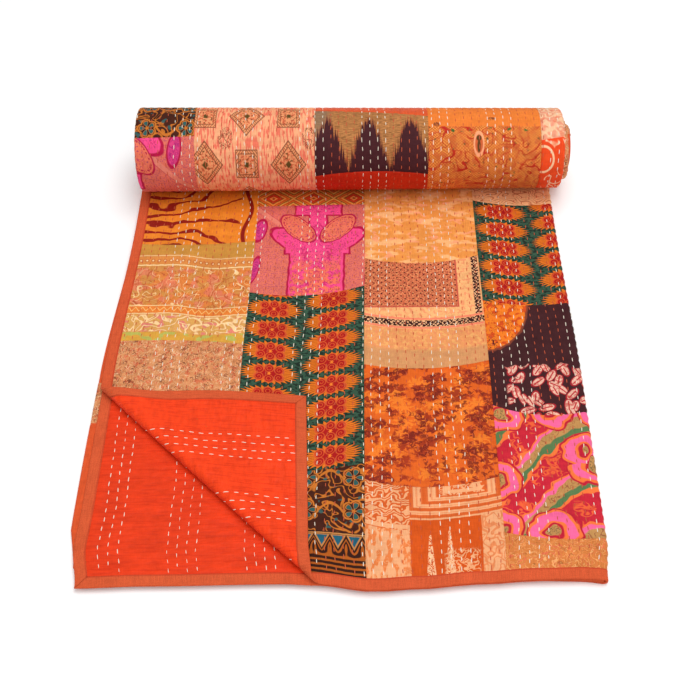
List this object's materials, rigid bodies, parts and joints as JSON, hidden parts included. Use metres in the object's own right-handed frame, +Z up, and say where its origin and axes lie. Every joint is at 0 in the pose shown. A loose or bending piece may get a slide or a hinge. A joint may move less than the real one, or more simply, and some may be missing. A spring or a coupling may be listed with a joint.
{
  "type": "patchwork quilt",
  "caption": "Stitched patchwork quilt with a bound edge, folded in quarters and rolled from one end, with a corner turned back.",
  "frame": {"origin": "on the surface that the quilt lies on, under the centre of its bounding box", "axes": "+X across the folded width, to the right seen from the near end; +Y from the near end to the roll; +Z up"},
  "size_m": [0.6106, 0.6944, 0.1238],
  "materials": {
    "quilt": "hand-quilted patchwork of printed silk and cotton, orange silk backing",
    "binding": "plain coral orange woven cotton"
  },
  "bodies": {
    "root": {"quilt": "quilt", "binding_end": "binding", "binding_top_side": "binding", "binding_under_side": "binding"}
  },
  "joints": []
}
